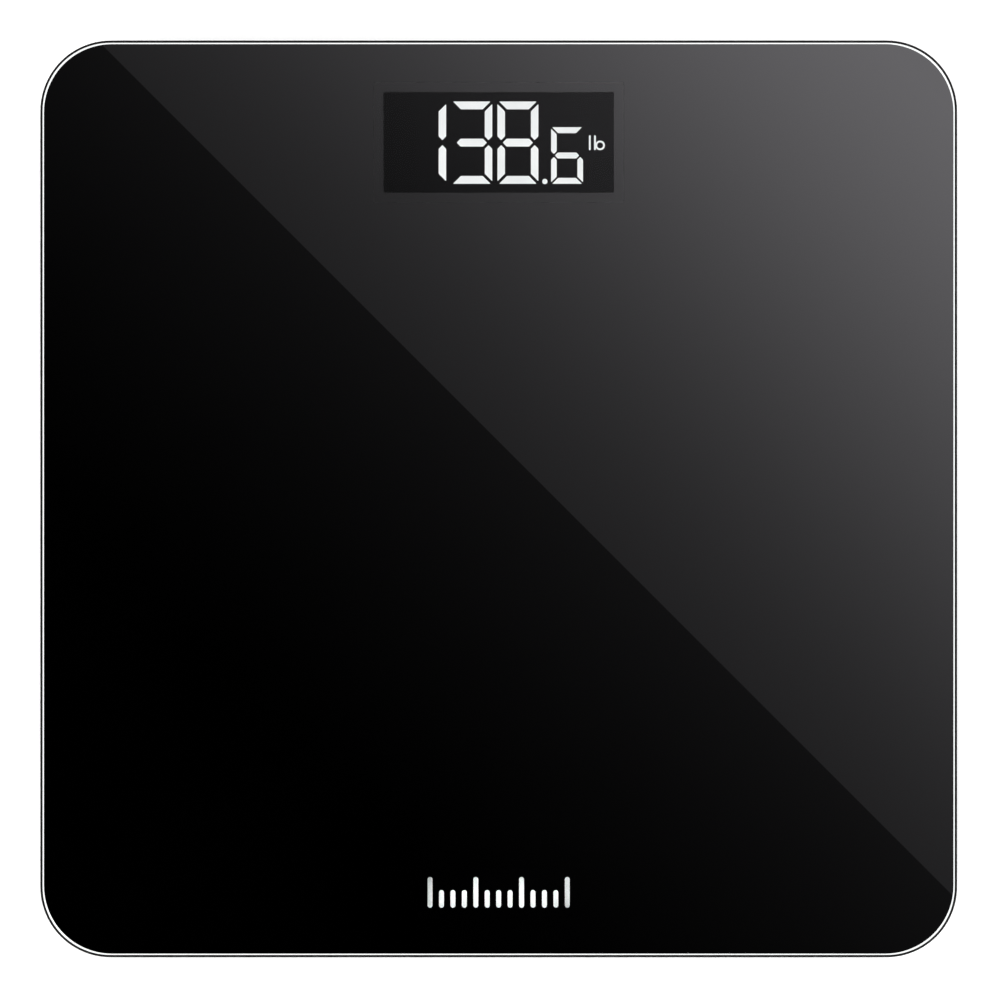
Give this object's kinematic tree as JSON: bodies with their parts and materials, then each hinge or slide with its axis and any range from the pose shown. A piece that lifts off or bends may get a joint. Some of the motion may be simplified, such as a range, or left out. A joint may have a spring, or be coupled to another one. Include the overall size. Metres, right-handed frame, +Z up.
{
  "type": "digital bathroom scale",
  "caption": "Square glass bathroom scale with a lit display window, a ribbed base, load-cell feet that tilt on ball studs, a hinged battery cover and a unit button.",
  "frame": {"origin": "on the floor under the middle of the platform", "axes": "+Z up, +Y towards the display side, +X to the right of a person who stands facing the display"},
  "size_m": [0.28, 0.28, 0.024],
  "materials": {
    "platform_glass": "polished",
    "back_print": "gloss",
    "white_print": "gloss",
    "foam": "matte",
    "tray_plastic": "matte",
    "polariser": "gloss",
    "lit_segments": "satin",
    "lcd_glass": "polished",
    "light_guide": "gloss",
    "white_plastic": "satin",
    "led": "gloss",
    "zebra_rubber": "matte",
    "board": "gloss",
    "chip_resin": "gloss",
    "components": "satin",
    "solder": "polished",
    "zinc_steel": "satin",
    "bright_steel": "polished",
    "switch_black": "matte",
    "switch_ivory": "matte",
    "button_grey": "satin",
    "battery_sleeve": "satin",
    "red_wire": "gloss",
    "black_wire": "gloss",
    "sensor_wires": "gloss",
    "silicone": "satin",
    "foot_plastic": "satin",
    "foot_rubber": "matte"
  },
  "bodies": {
    "base": {"glass_platform": "platform_glass", "back_print": "back_print", "platform_mark": "white_print", "bonding_tape": "foam", "display_gasket": "foam", "base_tray": "tray_plastic", "front_polariser": "polariser", "rear_polariser": "polariser", "lit_segments": "lit_segments", "lcd_front_glass": "lcd_glass", "lcd_back_glass": "lcd_glass", "light_guide": "light_guide", "backlight_housing": "white_plastic", "display_frame": "white_plastic", "backlight_leds": "led", "zebra_strips": "zebra_rubber", "circuit_board": "board", "controller_chip": "chip_resin", "small_components": "components", "solder_joints": "solder", "board_screws": "zinc_steel", "load_cell_front_left": "zinc_steel", "load_cell_front_right": "zinc_steel", "load_cell_rear_left": "zinc_steel", "load_cell_rear_right": "zinc_steel", "contact_springs": "bright_steel", "contact_plates": "bright_steel", "ball_stud_front_left": "bright_steel", "ball_stud_front_right": "bright_steel", "ball_stud_rear_left": "bright_steel", "ball_stud_rear_right": "bright_steel", "switch_case": "switch_black", "battery_1": "battery_sleeve", "battery_2": "battery_sleeve", "battery_3": "battery_sleeve", "battery_lead_red": "red_wire", "battery_lead_black": "black_wire", "sensor_lead_front_left": "sensor_wires", "sensor_lead_front_right": "sensor_wires", "sensor_lead_rear_left": "sensor_wires", "sensor_lead_rear_right": "sensor_wires", "gauge_potting_front_left": "silicone", "gauge_potting_front_right": "silicone", "gauge_potting_rear_left": "silicone", "gauge_potting_rear_right": "silicone"},
    "battery_cover": {"battery_cover": "tray_plastic"},
    "unit_button": {"unit_button": "button_grey", "switch_plunger": "switch_ivory"},
    "foot_front_left": {"foot_shell_front_left": "foot_plastic", "foot_pad_front_left": "foot_rubber"},
    "foot_front_right": {"foot_shell_front_right": "foot_plastic", "foot_pad_front_right": "foot_rubber"},
    "foot_rear_left": {"foot_shell_rear_left": "foot_plastic", "foot_pad_rear_left": "foot_rubber"},
    "foot_rear_right": {"foot_shell_rear_right": "foot_plastic", "foot_pad_rear_right": "foot_rubber"}
  },
  "joints": [
    {"name": "foot_front_left_tilt", "type": "hinge", "parent": "base", "child": "foot_front_left", "pos_m": [-0.102, -0.102, 0.008], "axis": [0.7071, -0.7071, 0], "range_deg": [-2.5, 2.5]},
    {"name": "foot_front_right_tilt", "type": "hinge", "parent": "base", "child": "foot_front_right", "pos_m": [0.102, -0.102, 0.008], "axis": [0.7071, 0.7071, 0], "range_deg": [-2.5, 2.5]},
    {"name": "foot_rear_left_tilt", "type": "hinge", "parent": "base", "child": "foot_rear_left", "pos_m": [-0.102, 0.102, 0.008], "axis": [-0.7071, -0.7071, 0], "range_deg": [-2.5, 2.5]},
    {"name": "foot_rear_right_tilt", "type": "hinge", "parent": "base", "child": "foot_rear_right", "pos_m": [0.102, 0.102, 0.008], "axis": [-0.7071, 0.7071, 0], "range_deg": [-2.5, 2.5]},
    {"name": "battery_cover_hinge", "type": "hinge", "parent": "base", "child": "battery_cover", "pos_m": [0, 0.0385, 0.0045], "axis": [-1, 0, 0], "range_deg": [0, 90]},
    {"name": "unit_button_press", "type": "slide", "parent": "base", "child": "unit_button", "axis": [0, 0, 1], "range_m": [0, 0.0005], "stiffness_N_per_m": 3000}
  ]
}
